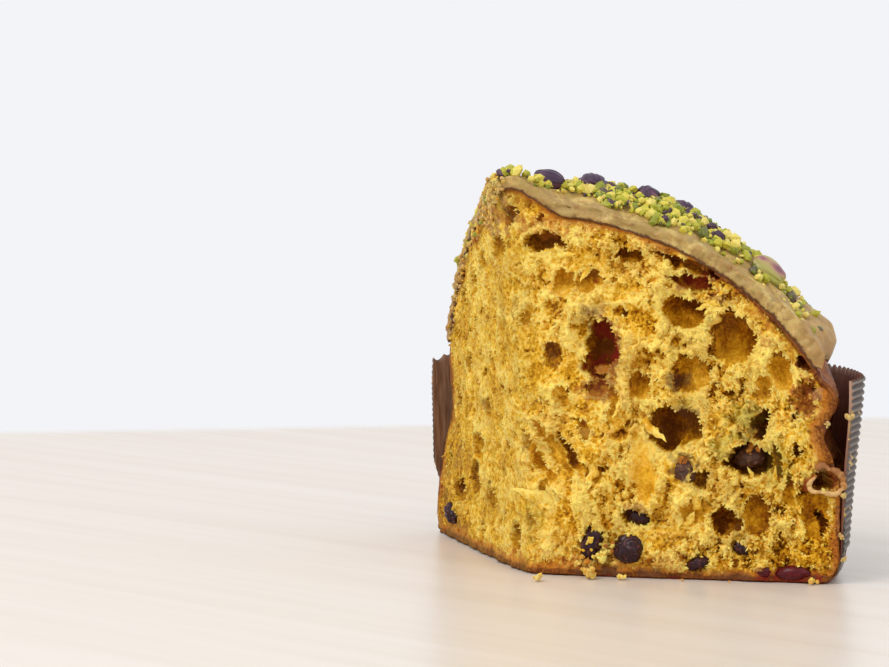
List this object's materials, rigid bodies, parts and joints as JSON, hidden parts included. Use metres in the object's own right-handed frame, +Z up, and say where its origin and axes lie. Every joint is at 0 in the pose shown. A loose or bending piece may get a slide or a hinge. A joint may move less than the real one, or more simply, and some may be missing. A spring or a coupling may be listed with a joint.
{
  "type": "panettone wedge",
  "caption": "Wedge of a low festive loaf with torn open crumb, nut-topped icing, dried fruit and its fluted paper baking case.",
  "frame": {"origin": "bottom centre of the whole piece's box, on the surface it stands on", "axes": "+Z up; +Y from the tip of the wedge to its paper wall; +X to the right, with the right cut face towards +X -Y"},
  "size_m": [0.184, 0.114, 0.1316],
  "materials": {
    "crumb": "matte open crumb",
    "icing": "satin",
    "paper": "satin fluted paper",
    "pistachio": "satin",
    "raisin": "moist",
    "cherry": "moist"
  },
  "bodies": {
    "root": {"bread": "crumb", "icing": "icing", "paper_case": "paper", "kernel_tip": "pistachio", "kernel_ridge": "pistachio", "kernel_shoulder": "pistachio", "kernel_right_low": "pistachio", "kernel_mid": "pistachio", "kernel_back": "pistachio", "kernel_left": "pistachio", "kernel_left_low": "pistachio", "kernel_behind": "pistachio", "raisin_round": "raisin", "raisin_long": "raisin", "raisin_upper": "raisin", "raisin_flat": "raisin", "raisin_small": "raisin", "raisin_cave": "raisin", "raisin_lump": "raisin", "raisin_side_low": "raisin", "cherry_strip": "cherry", "cherry_dot": "cherry"}
  },
  "joints": []
}
